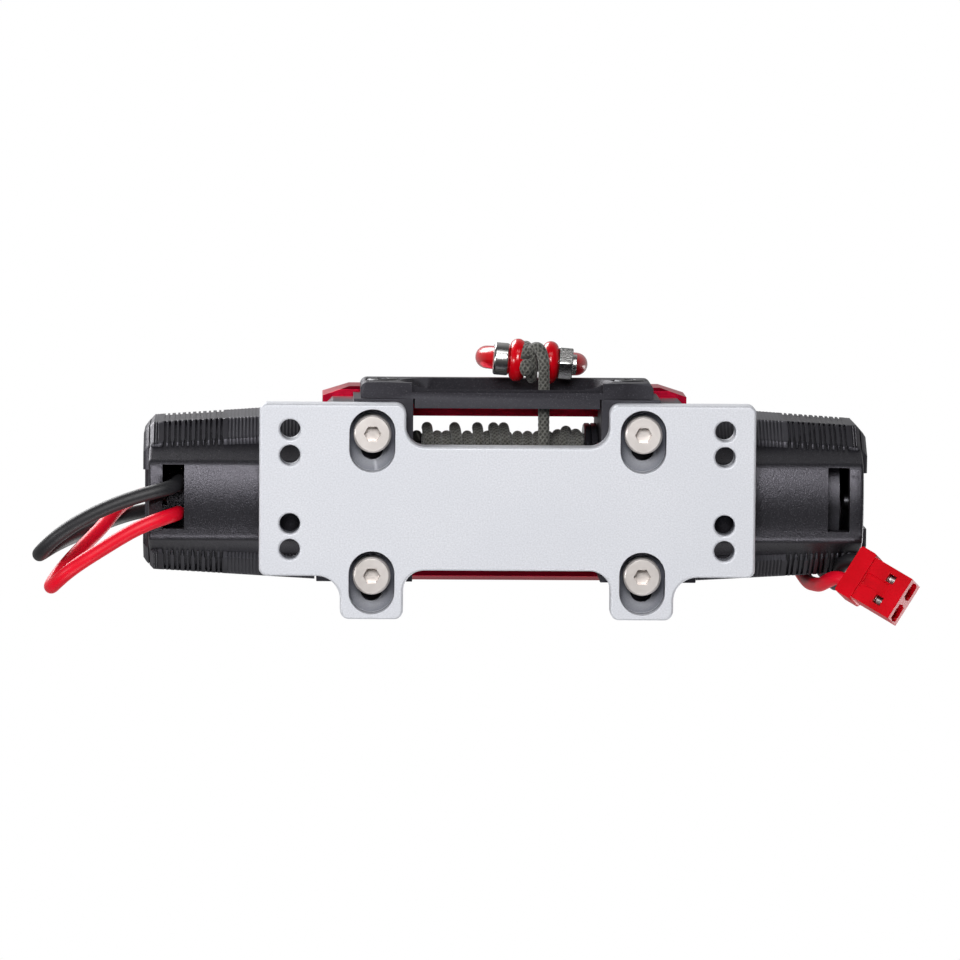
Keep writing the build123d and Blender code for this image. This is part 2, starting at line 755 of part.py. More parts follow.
# ---- shackle on the rope's end, leaning slightly and turned slightly to the right ----
shackle_centre = Vector(2.78, -14.0, 8.0)
shackle_yaw = radians(4.2)
shackle_lean = radians(5.0)
pin_direction = Vector(cos(shackle_yaw), sin(shackle_yaw), 0)
back_direction = Vector(-sin(shackle_yaw), cos(shackle_yaw), 0)
bow_up = Vector(0, 0, 1) * cos(shackle_lean) + back_direction * sin(shackle_lean)
bow_plane = Plane(origin=shackle_centre, x_dir=pin_direction, z_dir=pin_direction.cross(bow_up))
pin_radius = 1.02
ear_outer = 2.13
ear_near = 0.8
ear_far = 2.48
bow_radius = 4.6
bow_rod = 1.18


def pin_bar(start, end, radius):
    """Round bar on the shackle pin's axis between two distances from its middle."""
    with BuildPart() as bar:
        with BuildSketch(Plane(origin=shackle_centre + pin_direction * start, x_dir=bow_up, z_dir=pin_direction)):
            Circle(radius)
        extrude(amount=end - start)
    return bar.part


bow_height = 5.7  # middle of the bow's arc above the pin
bow_opening = radians(40)
bow_leg = 2.8
arc_foot = (bow_radius * cos(bow_opening), bow_height - bow_radius * sin(bow_opening))
leg_foot = (arc_foot[0] - bow_leg * sin(bow_opening), arc_foot[1] - bow_leg * cos(bow_opening))
with BuildPart() as shackle_bow:
    with BuildLine(bow_plane) as bow_path:
        Line((-leg_foot[0], leg_foot[1]), (-arc_foot[0], arc_foot[1]))
        ThreePointArc((-arc_foot[0], arc_foot[1]), (0, bow_height + bow_radius), arc_foot)
        Line(arc_foot, leg_foot)
    with BuildSketch(bow_path.wires()[0] ^ 0):
        Circle(bow_rod)
    sweep()
    add(pin_bar(-ear_far, -ear_near, ear_outer))
    add(pin_bar(ear_near, ear_far, ear_outer))
    add(pin_bar(-5, 5, pin_radius + gap), mode=Mode.SUBTRACT)
    add(pin_bar(-ear_near, ear_near, 2.35), mode=Mode.SUBTRACT)
    add(pin_bar(-5.5, -ear_far, 2.1), mode=Mode.SUBTRACT)
    add(pin_bar(ear_far, 5.5, 2.1), mode=Mode.SUBTRACT)
shackle_bow.part.label = "shackle_bow"

with BuildPart() as shackle_bolt:
    add(pin_bar(-4.1, -ear_far, 1.65))
    fillet(shackle_bolt.edges().filter_by(GeomType.CIRCLE), 0.3)
    add(pin_bar(-ear_far - 0.3, 4.35, pin_radius))
shackle_bolt.part.label = "shackle_bolt"

with BuildPart() as shackle_nut:
    nut_origin = shackle_centre + pin_direction * (ear_far + 0.01)
    with BuildSketch(Plane(origin=nut_origin, x_dir=bow_up, z_dir=pin_direction)):
        RegularPolygon(1.6, 6, major_radius=False)
        Circle(pin_radius, mode=Mode.SUBTRACT)
    extrude(amount=1.45)
shackle_nut.part.label = "shackle_nut"


# ---- rope end: leaves the drum's underside, goes round the shackle pin and ends in a knot ----
loop_radius = pin_radius + 0.08 + lead_radius
rope_route = [
    (lead_x, 0.6, 4.88),
    (lead_x, -6.0, 5.06),
    (lead_x, -12.0, 5.2),
    (3.45, -14.4, 5.22),
    (2.75, -15.65, 7.9),
]
with BuildPart() as rope_end:
    add(
        rope_sweep(
            rope_route,
            lead_radius,
            [(0, -1, 0), (0, 0, 1)],
        )
    )
    with BuildSketch(bow_plane):
        with Locations((0, loop_radius)):
            Circle(lead_radius)
    revolve(axis=Axis(shackle_centre, pin_direction))
rope_end.part.label = "rope_end"


# ---- leads and connector ----
plug_centre = (37.74, 8.4, 3.2)
plug_turn = 29.0
plug_tilt = 26.0  # towards the mounting face
plug_roll = -8.0
plug_length = 6.4
plug_width = 4.7
plug_height = 3.4
pin_pitch = 2.5
panel_length = 2.6  # shallow recess between the two windows
panel_width = 1.3
panel_depth = 0.25
plug_tipped = Location((0, 0, 0), (0, 1, 0), plug_tilt) * Location((0, 0, 0), (1, 0, 0), plug_roll)
plug_pose = Location(plug_centre, (0, 0, 1), plug_turn) * plug_tipped


def socket(side):
    """End of a lead, just inside the plug's rear face."""
    return (plug_pose * Location((0.25 - plug_length / 2, side * pin_pitch / 2, 0))).position


black_route = [
    (-33.2, -1.7, 6.4),
    (-33.4, -1.6, 4.4),
    (-34.1, -1.4, 2.8),
    (-36.4, -0.8, 2.05),
    (-41.0, 0.9, 2.0),
    (-45.2, 3.5, 2.8),
    (-47.2, 5.6, 5.4),
    (-46.2, 5.4, 9.6),
    (-42.6, 4.2, 15.6),
    (-38.4, 3.0, 20.4),
    (-33.0, 2.3, 22.6),
    (-24.0, 2.1, 22.5),
    (-12.0, 2.0, 22.8),
    (-1.0, 1.0, 24.1),
    (10.0, 0.1, 22.9),
    (17.0, 0.3, 22.5),
    (23.5, 1.5, 22.3),
    (28.0, 3.4, 22.1),
    (31.2, 5.7, 20.9),
    (33.2, 8.15, 18.1),
    (34.0, 8.9, 14.2),
    (34.1, 8.85, 11.0),
    (34.2, 8.05, 8.5),
    (34.2, 6.95, 6.9),
    (34.6, 6.1, 5.75),
    (35.3, 5.85, 5.05),
    socket(-1),
]
red_route = [
    (-33.2, 1.5, 6.4),
    (-33.4, 1.4, 4.4),
    (-34.1, 1.5, 2.8),
    (-36.2, 2.2, 1.95),
    (-40.5, 4.6, 1.85),
    (-44.4, 7.3, 2.4),
    (-46.0, 8.9, 4.9),
    (-44.9, 7.4, 8.9),
    (-41.0, 3.6, 14.4),
    (-38.3, 1.4, 19.9),
    (-32.6, 0.4, 22.5),
    (-24.0, 0.2, 22.5),
    (-12.0, 0.1, 22.3),
    (-1.0, 1.0, 22.3),
    (10.0, 1.9, 22.3),
    (17.0, 2.3, 22.4),
    (22.5, 3.6, 22.3),
    (26.6, 5.2, 21.9),
    (29.3, 6.6, 20.4),
    (30.7, 8.0, 18.2),
    (31.4, 8.98, 15.6),
    (31.8, 9.0, 12.0),
    (32.3, 8.7, 8.6),
    (33.0, 8.0, 6.2),
    (33.85, 7.65, 4.9),
    socket(1),
]
with BuildPart() as black_lead:
    add(rope_sweep(black_route, wire_radius))
black_lead.part.label = "black_lead"

with BuildPart() as red_lead:
    add(rope_sweep(red_route, wire_radius))
red_lead.part.label = "red_lead"

with BuildPart() as plug_body:
    with BuildSketch(Plane.XY.offset(-plug_height / 2)):
        Rectangle(plug_length, plug_width)
    extrude(amount=plug_height)
    with BuildSketch(Plane.XY.offset(-plug_height / 2 - 0.25)):
        with Locations((-plug_length / 2 + 0.95, 0)):
            RectangleRounded(1.9, plug_width + 0.6, 0.3)
    extrude(amount=plug_height + 0.5)
    with BuildSketch(Plane.YZ.offset(-plug_length / 2)):
        with Locations((-pin_pitch / 2, 0), (pin_pitch / 2, 0)):
            Circle(0.95)
    extrude(amount=plug_length, mode=Mode.SUBTRACT)
    with BuildSketch(Plane.YZ.offset(plug_length / 2)):
        with Locations((-pin_pitch / 2, 0), (pin_pitch / 2, 0)):
            Rectangle(1.7, 1.7)
    extrude(amount=-1.6, taper=18, mode=Mode.SUBTRACT)
    with BuildSketch(Plane.XY.offset(-plug_height / 2)):
        with Locations((1.25, -pin_pitch / 2), (1.25, pin_pitch / 2)):
            Rectangle(0.9, 0.9)
    extrude(amount=1.2, mode=Mode.SUBTRACT)
    with BuildSketch(Plane.XY.offset(-plug_height / 2)):
        with Locations((0.1, 0)):
            Rectangle(panel_length, panel_width)
    extrude(amount=panel_depth, mode=Mode.SUBTRACT)
plug_housing = plug_body.part.moved(plug_pose)
plug_housing.label = "plug_housing"

with BuildPart() as contact_pair:
    with BuildSketch(Plane.YZ.offset(-1.0)):
        with Locations((-pin_pitch / 2, 0), (pin_pitch / 2, 0)):
            Circle(0.9)
            Circle(0.62, mode=Mode.SUBTRACT)
    extrude(amount=3.2)
plug_contacts = contact_pair.part.moved(plug_pose)
plug_contacts.label = "plug_contacts"

pieces = [
    mount_plate.part,
    mount_screws.part,
    left_cheek.part,
    right_cheek.part,
    left_bush.part,
    right_bush.part,
    fairlead.part,
    fairlead_screws.part,
    upper_frame.part,
    frame_screws.part,
    drum.part,
    rope_coil.part,
    drive_shaft.part,
    shaft_coupler.part,
    ring_gear.part,
    carrier_1.part,
    planet_pins_1.part,
    carrier_2.part,
    planet_pins_2.part,
    gear_cap.part,
    gearbox_housing.part,
    motor_housing.part,
    left_armour.part,
    right_armour.part,
    end_screws.part,
    motor_can.part,
    motor_magnets.part,
    motor_end_bell.part,
    motor_rotor.part,
    motor_terminals.part,
    shackle_bow.part,
    shackle_bolt.part,
    shackle_nut.part,
    rope_end.part,
    black_lead.part,
    red_lead.part,
    plug_housing,
    plug_contacts,
]
for piece in pieces:
    export_step(piece, f"parts/{piece.label}.step")
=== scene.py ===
import json
import math

import bmesh
import bpy
import numpy as np
from mathutils import Matrix, Quaternion, Vector

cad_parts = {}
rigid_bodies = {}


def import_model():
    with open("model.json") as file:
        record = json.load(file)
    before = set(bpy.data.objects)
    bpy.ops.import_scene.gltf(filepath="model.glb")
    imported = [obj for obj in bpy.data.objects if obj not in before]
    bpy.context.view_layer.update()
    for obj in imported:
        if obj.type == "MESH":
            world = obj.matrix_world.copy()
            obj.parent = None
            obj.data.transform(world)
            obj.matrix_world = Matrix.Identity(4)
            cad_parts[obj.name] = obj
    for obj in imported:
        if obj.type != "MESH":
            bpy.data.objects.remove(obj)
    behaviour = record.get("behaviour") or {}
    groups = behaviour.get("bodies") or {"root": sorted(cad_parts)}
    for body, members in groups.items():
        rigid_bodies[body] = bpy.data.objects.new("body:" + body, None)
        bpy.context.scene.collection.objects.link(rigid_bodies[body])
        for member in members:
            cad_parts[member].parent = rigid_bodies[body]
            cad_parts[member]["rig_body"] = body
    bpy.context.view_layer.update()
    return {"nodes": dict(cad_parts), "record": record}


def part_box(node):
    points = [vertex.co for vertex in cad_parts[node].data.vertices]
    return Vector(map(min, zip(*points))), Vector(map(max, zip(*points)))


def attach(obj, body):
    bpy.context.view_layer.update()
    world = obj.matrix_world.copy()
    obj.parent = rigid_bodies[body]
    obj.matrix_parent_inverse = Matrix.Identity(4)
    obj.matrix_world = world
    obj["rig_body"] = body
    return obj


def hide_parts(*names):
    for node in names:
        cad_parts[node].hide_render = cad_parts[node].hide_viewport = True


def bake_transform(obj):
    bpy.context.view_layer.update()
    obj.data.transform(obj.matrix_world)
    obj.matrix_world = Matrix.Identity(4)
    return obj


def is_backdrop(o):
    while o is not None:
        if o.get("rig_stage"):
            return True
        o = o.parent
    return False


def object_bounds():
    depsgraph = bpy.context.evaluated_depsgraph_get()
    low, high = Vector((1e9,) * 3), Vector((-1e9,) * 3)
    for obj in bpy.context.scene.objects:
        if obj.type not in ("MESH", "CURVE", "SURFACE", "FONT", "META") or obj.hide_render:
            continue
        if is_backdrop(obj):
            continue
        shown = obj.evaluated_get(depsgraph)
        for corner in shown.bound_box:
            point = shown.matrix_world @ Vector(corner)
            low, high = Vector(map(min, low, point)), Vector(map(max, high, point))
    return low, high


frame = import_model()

MM = 0.001
nodes = frame["nodes"]
node_body = {n: o["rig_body"] for n, o in nodes.items()}
node_slot = {s["node"]: s["material_slot"] for s in frame["record"]["subparts"]}


# ------------------------------------------------------------------ materials
class Nodes:
    """A material's node tree with short ways to add and join nodes."""

    def __init__(self, name):
        self.material = bpy.data.materials.new(name)
        self.material.use_nodes = True
        self.tree = self.material.node_tree
        self.shader = self.tree.nodes["Principled BSDF"]
        self.position = self.tree.nodes.new("ShaderNodeTexCoord").outputs["Object"]

    def add(self, kind, **inputs):
        node = self.tree.nodes.new(kind)
        for key, value in inputs.items():
            self.put(node.inputs[key.replace("_", " ")], value)
        return node

    def put(self, socket, value):
        if hasattr(value, "links"):
            self.tree.links.new(value, socket)
        else:
            socket.default_value = value

    def set(self, **inputs):
        for key, value in inputs.items():
            self.put(self.shader.inputs[key.replace("_", " ")], value)

    def noise(self, scale_mm, detail=2.0, roughness=0.5, vector=None):
        """Noise whose features are about scale_mm across."""
        node = self.add("ShaderNodeTexNoise", Scale=1.0 / (scale_mm * MM), Detail=detail, Roughness=roughness)
        self.put(node.inputs["Vector"], vector or self.position)
        return node.outputs["Fac"]

    def stretch(self, factor, low, high, low_in=0.0, high_in=1.0):
        node = self.add("ShaderNodeMapRange")
        for name, value in (("From Min", low_in), ("From Max", high_in), ("To Min", low), ("To Max", high)):
            node.inputs[name].default_value = value
        self.put(node.inputs["Value"], factor)
        return node.outputs["Result"]

    def mix(self, factor, a, b):
        node = self.tree.nodes.new("ShaderNodeMix")
        node.data_type = "RGBA"
        self.put(node.inputs["Factor"], factor)
        self.put(node.inputs["A"], a)
        self.put(node.inputs["B"], b)
        return node.outputs["Result"]

    def maths(self, operation, a, b=None):
        node = self.tree.nodes.new("ShaderNodeMath")
        node.operation = operation
        self.put(node.inputs[0], a)
        if b is not None:
            self.put(node.inputs[1], b)
        return node.outputs[0]

    def bump(self, height, depth_mm):
        node = self.add("ShaderNodeBump", Strength=1.0, Distance=depth_mm * MM, Height=height)
        self.put(self.shader.inputs["Normal"], node.outputs["Normal"])

    def edge_highlight_mask(self):
        """Pointiness from 0 in hollows to 1 on sharp edges, the mask for a painted edge highlight."""
        geometry = self.tree.nodes.new("ShaderNodeNewGeometry")
        return self.stretch(geometry.outputs["Pointiness"], 0.0, 1.0, 0.5, 0.62)


def rgba(r, g, b):
    return (r, g, b, 1.0)


def metal(name, colour, dark, roughness, grain_mm, grain_depth, metallic=1.0, coarse=1.0):
    """Machined or blasted metal: two colours mixed by a broad noise, a fine grain in relief."""
    m = Nodes(name)
    broad = m.noise(coarse * 4.0, 3.0)
    grain = m.noise(grain_mm, 2.0, 0.6)
    tone = m.mix(m.stretch(broad, 0.0, 1.0, 0.35, 0.65), rgba(*dark), rgba(*colour))
    m.set(Base_Color=tone, Metallic=metallic, Roughness=m.stretch(grain, roughness - 0.05, roughness + 0.07))
    m.bump(grain, grain_depth)
    return m.material


def plate_aluminium():
    """Bead-blasted, clear anodised aluminium with a fine frosted grain, and painted shade: an ambient-occlusion mask
    darkens recesses, hollows and hole rims towards dark grey-blue.
    """
    m = Nodes("plate_aluminium")
    grain = m.noise(0.16, 3.0, 0.65)
    broad = m.noise(9.0, 2.0)
    light = m.mix(m.stretch(broad, 0, 1, 0.3, 0.7), rgba(0.70, 0.715, 0.765), rgba(0.745, 0.755, 0.80))
    speckled = m.mix(m.stretch(grain, 0, 1, 0.35, 0.7), rgba(0.60, 0.61, 0.65), light)
    # Painted shade: ambient occlusion within 2 mm darkens the colour in recesses and hollows, where shade falls.
    painted_recess_shade = m.tree.nodes.new("ShaderNodeAmbientOcclusion")
    painted_recess_shade.inputs["Distance"].default_value = 2.0 * MM
    speckled = m.mix(m.stretch(painted_recess_shade.outputs["AO"], 0, 1, 0.3, 0.85), rgba(0.09, 0.095, 0.12), speckled)
    m.set(Base_Color=speckled, Metallic=0.2, Roughness=m.stretch(grain, 0.42, 0.55))
    m.bump(grain, 0.012)
    return m.material


def black_anodised(name, tone, roughness, grain_mm, depth, painted_glints=0.0, shine=0.32):
    """Black anodised aluminium, from satin to sandblasted, with painted glints as bright specks on the coarser grains
    and a painted highlight on sharp edges.
    """
    m = Nodes(name)
    grain = m.noise(grain_mm, 3.0, 0.65)
    # Painted glints: bright grey specks mixed into the base colour through a noise mask.
    glint_specks = m.stretch(m.noise(grain_mm * 0.8, 1.0), 0.0, 1.0, 0.60, 0.78)
    dark = rgba(tone * 0.7, tone * 0.66, tone * 0.85)
    base = m.mix(m.stretch(grain, 0, 1, 0.3, 0.7), dark, rgba(tone, tone * 0.93, tone * 1.2))
    with_painted_glints = m.mix(m.maths("MULTIPLY", glint_specks, painted_glints), base, rgba(0.22, 0.22, 0.24))
    # Painted highlight: sharp edges turned lighter grey by pointiness.
    edge = m.mix(m.maths("MULTIPLY", m.edge_highlight_mask(), 0.25), with_painted_glints, rgba(0.16, 0.16, 0.18))
    m.set(Base_Color=edge, Metallic=0.1, Roughness=m.stretch(grain, roughness - 0.05, roughness + 0.1))
    m.set(Specular_IOR_Level=shine, Specular_Tint=rgba(0.92, 0.88, 1.0))
    m.bump(grain, depth)
    return m.material


def red_anodised():
    """Deep red anodised aluminium, slightly satin."""
    m = Nodes("red_anodised")
    grain = m.noise(0.12, 2.0, 0.6)
    tone = m.mix(m.stretch(m.noise(5.0), 0, 1, 0.3, 0.7), rgba(0.42, 0.0, 0.018), rgba(0.55, 0.003, 0.035))
    m.set(Base_Color=tone, Metallic=0.85, Roughness=m.stretch(grain, 0.24, 0.34))
    m.bump(grain, 0.006)
    return m.material


def plastic(name, colour, dark, roughness, grain_mm=0.25, depth=0.004, soft=0.0, coat=0.0, shine=0.5):
    """Moulded or dipped plastic, silicone or rubber."""
    m = Nodes(name)
    grain = m.noise(grain_mm, 2.0, 0.55)
    tone = m.mix(m.stretch(m.noise(2.5), 0, 1, 0.3, 0.7), rgba(*dark), rgba(*colour))
    m.set(Base_Color=tone, Roughness=m.stretch(grain, roughness - 0.03, roughness + 0.05), Coat_Weight=coat)
    m.set(Coat_Roughness=0.06, Specular_IOR_Level=shine)
    if soft:
        m.set(Subsurface_Weight=soft, Subsurface_Radius=(1.0, 0.1, 0.1), Subsurface_Scale=0.6 * MM)
    m.bump(grain, depth)
    return m.material


def rope_material():
    """Braided grey-green cord: two yarn colours, with painted shade darkening the hollows between the strands."""
    m = Nodes("rope")
    yarn = m.noise(0.18, 2.0, 0.7)
    tone = m.mix(m.stretch(yarn, 0, 1, 0.35, 0.65), rgba(0.075, 0.072, 0.064), rgba(0.185, 0.185, 0.165))
    braid = m.tree.nodes.new("ShaderNodeAttribute")
    braid.attribute_name = "yarn"
    # Painted shade: the strand height stored on the vertices darkens the colour in the hollows of the braid.
    stand = m.stretch(braid.outputs["Fac"], 0.0, 1.0, 0.0, 0.85)
    m.set(Base_Color=m.mix(stand, rgba(0.035, 0.034, 0.030), tone), Roughness=0.75)
    m.set(Sheen_Weight=0.3, Specular_IOR_Level=0.35)
    m.bump(m.noise(0.06, 2.0, 0.7), 0.02)
    return m.material


MATERIALS = {
    "plate_aluminium": plate_aluminium(),
    "stainless": metal("stainless", (0.84, 0.79, 0.76), (0.72, 0.67, 0.64), 0.42, 0.3, 0.006, 0.85),
    "black_anodised": black_anodised("black_anodised", 0.012, 0.42, 0.12, 0.008, 0.1),
    "bronze": metal("bronze", (0.72, 0.50, 0.25), (0.60, 0.40, 0.18), 0.4, 0.2, 0.01),
    "black_blasted": black_anodised("black_blasted", 0.014, 0.46, 0.14, 0.022, 0.3),
    "black_steel": metal("black_steel", (0.05, 0.05, 0.055), (0.03, 0.03, 0.034), 0.36, 0.15, 0.006),
    "red_anodised": red_anodised(),
    "black_gloss": black_anodised("black_gloss", 0.010, 0.14, 0.3, 0.002, 0.0, 0.6),
    "rope": rope_material(),
    "gear_steel": metal("gear_steel", (0.62, 0.61, 0.60), (0.50, 0.49, 0.48), 0.3, 0.1, 0.006),
    "black_satin": black_anodised("black_satin", 0.007, 0.27, 0.14, 0.03, 0.3, 0.5),
    "black_armour": black_anodised("black_armour", 0.008, 0.36, 0.16, 0.012, 0.08, 0.4),
    "motor_steel": metal("motor_steel", (0.66, 0.66, 0.64), (0.55, 0.55, 0.53), 0.34, 0.3, 0.004),
    "ferrite": metal("ferrite", (0.07, 0.07, 0.075), (0.04, 0.04, 0.045), 0.6, 0.12, 0.02, 0.2),
    "nylon": plastic("nylon", (0.75, 0.74, 0.68), (0.68, 0.67, 0.60), 0.5, soft=0.1),
    "red_coating": plastic(
        "red_coating", (0.66, 0.0, 0.008), (0.52, 0.0, 0.005), 0.22, 0.6, 0.01, coat=0.25, shine=0.35
    ),
    "bright_steel": metal("bright_steel", (0.66, 0.65, 0.64), (0.50, 0.49, 0.48), 0.24, 0.25, 0.014),
    "black_silicone": plastic("black_silicone", (0.014, 0.013, 0.016), (0.010, 0.010, 0.012), 0.5, 0.2, 0.006),
    "red_silicone": plastic(
        "red_silicone", (0.80, 0.003, 0.024), (0.72, 0.002, 0.018), 0.42, 0.2, 0.005, soft=0.1, shine=0.3
    ),
    "red_nylon": plastic("red_nylon", (0.60, 0.0, 0.008), (0.50, 0.0, 0.005), 0.30, 0.3, 0.005, shine=0.08),
}


# ------------------------------------------------------------------ mesh helpers
def cord_object(name, verts, faces, yarn):
    """Braided cord as an object whose vertices carry how far they stand out of the braid, which the rope material turns
    into painted shade in the hollows.
    """
    mesh = bpy.data.meshes.new(name)
    mesh.from_pydata([tuple(v) for v in verts], [], faces)
    mesh.materials.append(MATERIALS["rope"])
    mesh.shade_smooth()
    mesh.attributes.new("yarn", "FLOAT", "POINT").data.foreach_set("value", yarn)
    obj = bpy.data.objects.new(name, mesh)
    bpy.context.scene.collection.objects.link(obj)
    return obj


def cord_piece(name, verts, faces, yarn):
    """Cord from the drum to the shackle, shown in place of the rope end node."""
    obj = cord_object(name, verts, faces, yarn)
    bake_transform(obj)
    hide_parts("rope_end")


def settle(obj, body, replaced=()):
    """Puts a finished piece on its body, in place of CAD nodes."""
    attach(obj, body)
    if replaced:
        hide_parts(*replaced)


def wear(mesh, slot):
    """Gives a mesh the one material of its slot."""
    mesh.materials.clear()
    mesh.materials.append(MATERIALS[slot])


def take_place(obj, name):
    """Puts a piece in the place of the CAD node it was made from, with that node's slot and body."""
    wear(obj.data, node_slot[name])
    settle(obj, node_body[name], [name])


def soften(name, width_mm):
    """A copy of a CAD node with its sharp edges rounded, shown in the node's place."""
    mesh = nodes[name].data.copy()
    wear(mesh, node_slot[name])
    bm = bmesh.new()
    bm.from_mesh(mesh)
    bmesh.ops.remove_doubles(bm, verts=bm.verts, dist=0.002 * MM)
    bmesh.ops.dissolve_limit(
        bm, angle_limit=math.radians(0.4), verts=bm.verts, edges=bm.edges, use_dissolve_boundaries=False
    )
    bm.to_mesh(mesh)
    bm.free()
    obj = bpy.data.objects.new(name + "_soft", mesh)
    bpy.context.scene.collection.objects.link(obj)
    finish_edges(obj, width_mm)
    take_place(obj, name)


def bake_modifiers(obj):
    """Replaces an object's mesh by what its modifiers make of it."""
    graph = bpy.context.evaluated_depsgraph_get()
    mesh = bpy.data.meshes.new_from_object(obj.evaluated_get(graph), depsgraph=graph)
    obj.modifiers.clear()
    old = obj.data
    obj.data = mesh
    bpy.data.meshes.remove(old)


def smooth_by_angle(obj, angle_deg):
    obj.data.shade_smooth()
    obj.data.set_sharp_from_angle(angle=math.radians(angle_deg))


# ------------------------------------------------------------------ end housings
AXIS_Z = (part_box("drum")[0].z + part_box("drum")[1].z) / 2 / MM
HOUSING = dict(  # millimetres; section points are (sideways, above the drum axis)
    start=19.2, end=36.2, crown=0.62, round=1.3, bore=6.55, floor=1.1,
    corners=((3.9, -7.98), (5.3, -5.4), (7.25, -2.4), (7.25, 4.4), (4.7, 7.8)),
)
WINDOW = dict(near=32.58, far=34.78, y_low=-3.65, y_high=2.85)


def arc_corner(p, q, r, radius, steps):
    """Points of a round corner at q between the lines to p and r."""
    p, q, r = (np.array(v, float) for v in (p, q, r))
    u, v = (p - q) / np.linalg.norm(p - q), (r - q) / np.linalg.norm(r - q)
    reach = min(radius, 0.45 * np.linalg.norm(p - q), 0.45 * np.linalg.norm(r - q))
    return [q + u * reach * (1 - t) ** 2 + v * reach * t**2 for t in np.linspace(0, 1, steps + 1)]


def housing_outline(inset):
    """Closed smooth outline: a gently crowned underside, round lower edges, faceted sides."""
    low, *others = HOUSING["corners"]
    bottom = [
        np.array((x, low[1] - HOUSING["crown"] * (1 - (x / low[0]) ** 2)))
        for x in np.linspace(0.0, low[0] * 0.72, 8)
    ]
    half = list(bottom) + arc_corner(bottom[-1], low, others[0], HOUSING["round"], 6)
    chain = [low] + others + [(0.0, others[-1][1])]
    for p, q, r in zip(chain, chain[1:], chain[2:]):
        half += arc_corner(p, q, r, 0.5, 3)
    half.append(np.array((0.0, others[-1][1])))
    half = [h * (1 - inset / np.linalg.norm(h)) for h in half]
    return half + [np.array((-h[0], h[1])) for h in reversed(half[1:-1])]


def loft(rings):
    """Faces between closed rings of equal size, each end closed by one face."""
    verts = [v for ring in rings for v in ring]
    size = len(rings[0])
    faces = [list(range(size))[::-1], list(range(len(verts) - size, len(verts)))]
    for i in range(len(rings) - 1):
        for j in range(size):
            k = (j + 1) % size
            faces.append((i * size + j, i * size + k, (i + 1) * size + k, (i + 1) * size + j))
    return verts, faces


def solid(name, verts, faces):
    """Loose mesh object for use in booleans, with its faces turned outwards."""
    mesh = bpy.data.meshes.new(name)
    mesh.from_pydata([tuple(v) for v in verts], [], [tuple(f) for f in faces])
    bm = bmesh.new()
    bm.from_mesh(mesh)
    bmesh.ops.recalc_face_normals(bm, faces=bm.faces)
    bm.to_mesh(mesh)
    bm.free()
    obj = bpy.data.objects.new(name, mesh)
    bpy.context.scene.collection.objects.link(obj)
    return obj


def box_solid(name, low, high):
    corners = [(x, y, z) for x in (low[0], high[0]) for y in (low[1], high[1]) for z in (low[2], high[2])]
    faces = [(0, 1, 3, 2), (4, 6, 7, 5), (0, 4, 5, 1), (2, 3, 7, 6), (0, 2, 6, 4), (1, 5, 7, 3)]
    return solid(name, [[c * MM for c in corner] for corner in corners], faces)


def section(x, outline):
    """Points of an outline about the drum axis, set across it at x."""
    return [(x * MM, y * MM, (up + AXIS_Z) * MM) for y, up in outline]


def rod_solid(name, start, end, radius, segments=64, height=0.0):
    """Round bar from start to end along X, at a height above the drum axis."""
    turns = np.linspace(0, 2 * math.pi, segments, endpoint=False)
    circle = [(radius * math.cos(a), height + radius * math.sin(a)) for a in turns]
    return solid(name, *loft([section(x, circle) for x in (start, end)]))


def cut(target, *cutters):
    """Takes the cutters away from the target and deletes them."""
    for cutter in cutters:
        step = target.modifiers.new("cut", "BOOLEAN")
        step.operation = "DIFFERENCE"
        step.solver = "EXACT"
        step.object = cutter
    bake_modifiers(target)
    for cutter in cutters:
        bpy.data.objects.remove(cutter, do_unlink=True)


def finish_edges(obj, width_mm, angle_deg=30.0, segments=2, smooth_deg=40.0):
    """Rounds the sharp edges and keeps large faces flat in the shading."""
    bevel = obj.modifiers.new("bevel", "BEVEL")
    bevel.width = width_mm * MM
    bevel.segments = segments
    bevel.limit_method = "ANGLE"
    bevel.angle_limit = math.radians(angle_deg)
    bake_modifiers(obj)
    smooth_by_angle(obj, smooth_deg)
    weigh = obj.modifiers.new("normals", "WEIGHTED_NORMAL")
    weigh.mode = "FACE_AREA"
    weigh.weight = 90
    weigh.keep_sharp = True
    bake_modifiers(obj)


def housing(side, name):
    """Smooth shell round the motor or the gearbox, with its window and screw recesses."""
    end = HOUSING["end"]
    insets = ((HOUSING["start"], 0.0), (end - 0.3, 0.0), (end - 0.1, 0.06), (end, 0.22))
    rings = [section(side * x, housing_outline(inset)) for x, inset in insets]
    shell = solid(name + "_shell", *loft(rings))
    near, far = sorted((side * WINDOW["near"], side * WINDOW["far"]))
    window = box_solid("window", (near, WINDOW["y_low"], 1.0), (far, WINDOW["y_high"], AXIS_Z - 3))
    ends = sorted((side * (HOUSING["start"] - 1), side * (end - HOUSING["floor"])))
    cut(shell, rod_solid("bore", ends[0], ends[1], HOUSING["bore"]), window, *screw_recesses(side))
    finish_edges(shell, 0.07, 35.0)
    take_place(shell, name)


RECESS = dict(height=5.2, radius=1.28, depth=0.52)  # of the screw heads in a housing's end


def screw_recesses(side):
    """Cutters for the two screw heads sunk in a housing's end."""
    near, far = sorted((side * (HOUSING["end"] - RECESS["depth"]), side * (HOUSING["end"] + 0.5)))
    return [
        rod_solid("recess", near, far, RECESS["radius"], 32, height) for height in (-RECESS["height"], RECESS["height"])
    ]


# ------------------------------------------------------------------ rope
CORD = dict(radius=0.52, yarns=7, diamond=0.62, ridge=0.05, steps=36, spacing=0.085)


def add_mesh(verts, faces, new, quads):
    """Adds one mesh's vertices and faces to the lists that hold another's."""
    offset = len(verts)
    verts.extend(new)
    faces.extend(tuple(i + offset for i in quad) for quad in quads)


